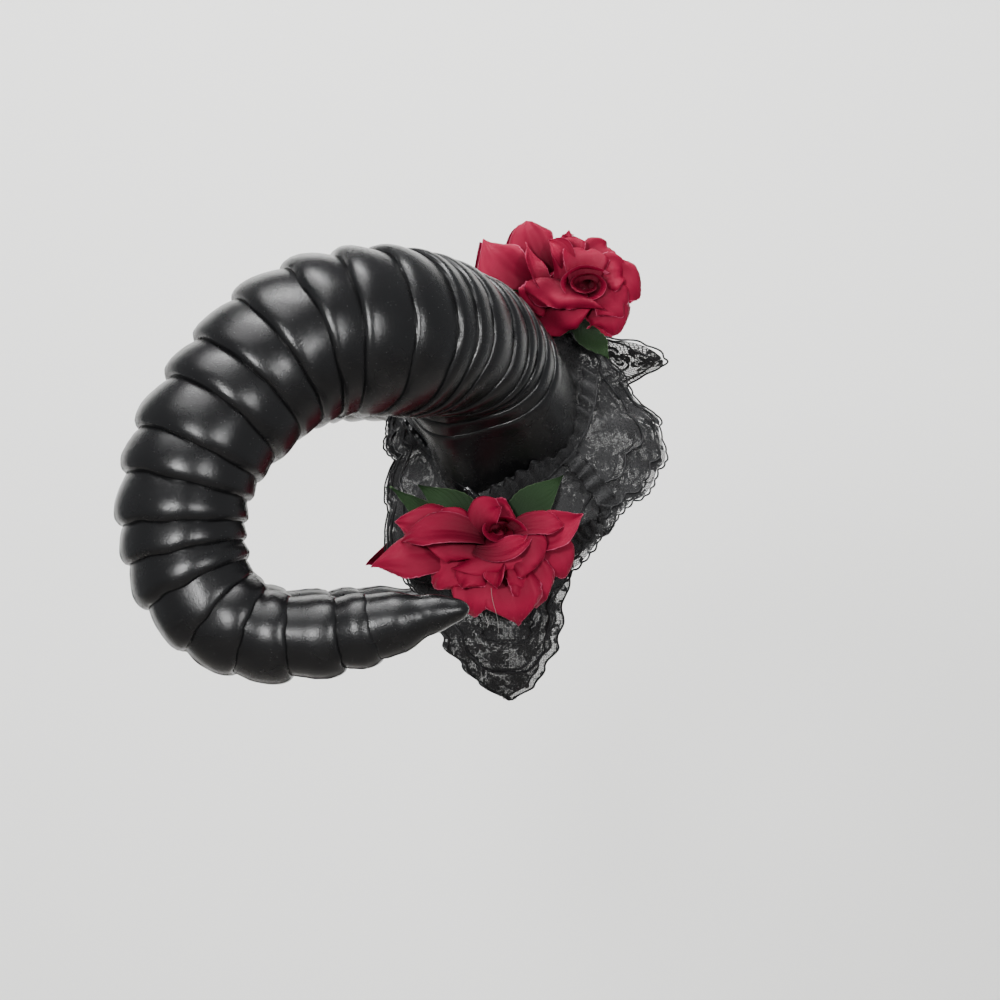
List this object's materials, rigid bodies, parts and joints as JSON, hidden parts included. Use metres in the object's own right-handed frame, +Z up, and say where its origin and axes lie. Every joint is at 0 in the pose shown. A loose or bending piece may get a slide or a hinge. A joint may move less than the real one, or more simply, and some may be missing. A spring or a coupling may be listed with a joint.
{
  "type": "horned costume headband with lace and cloth roses",
  "caption": "Black U-shaped headband with curled ribbed ram-type horns, black lace collars, red cloth roses and green leaves, shown as worn.",
  "frame": {"origin": "inner face of the band at the top of the head, in the middle of the band's width", "axes": "+Z up as worn, the wearer faces -Y, the wearer's right side and the horn nearest in the picture are at -X"},
  "size_m": [0.466, 0.2929, 0.2581],
  "materials": {
    "band_cloth": "matte black cloth over a hard band",
    "horn_skin": "satin black skin of moulded foam, finely pitted",
    "black_lace": "black floral lace with a scalloped edge",
    "rose_cloth": "crimson satin-weave cloth with lightly frayed edges",
    "calyx_plastic": "plain dark green plastic",
    "leaf_cloth": "green woven cloth with pressed veins"
  },
  "bodies": {
    "root": {"headband": "band_cloth", "horn_right": "horn_skin", "horn_left": "horn_skin", "lace_collar_right": "black_lace", "lace_collar_left": "black_lace", "lace_drop_right": "black_lace", "lace_drop_left": "black_lace", "rose_top_right": "rose_cloth", "rose_top_left": "rose_cloth", "rose_side_right": "rose_cloth", "rose_side_left": "rose_cloth", "calyx_top_right": "calyx_plastic", "calyx_top_left": "calyx_plastic", "calyx_side_right": "calyx_plastic", "calyx_side_left": "calyx_plastic", "leaf_top_front_right": "leaf_cloth", "leaf_top_front_left": "leaf_cloth", "leaf_top_back_right": "leaf_cloth", "leaf_top_back_left": "leaf_cloth", "leaf_side_back_right": "leaf_cloth", "leaf_side_back_left": "leaf_cloth", "leaf_side_front_right": "leaf_cloth", "leaf_side_front_left": "leaf_cloth", "leaf_side_rear_right": "leaf_cloth", "leaf_side_rear_left": "leaf_cloth"}
  },
  "joints": []
}
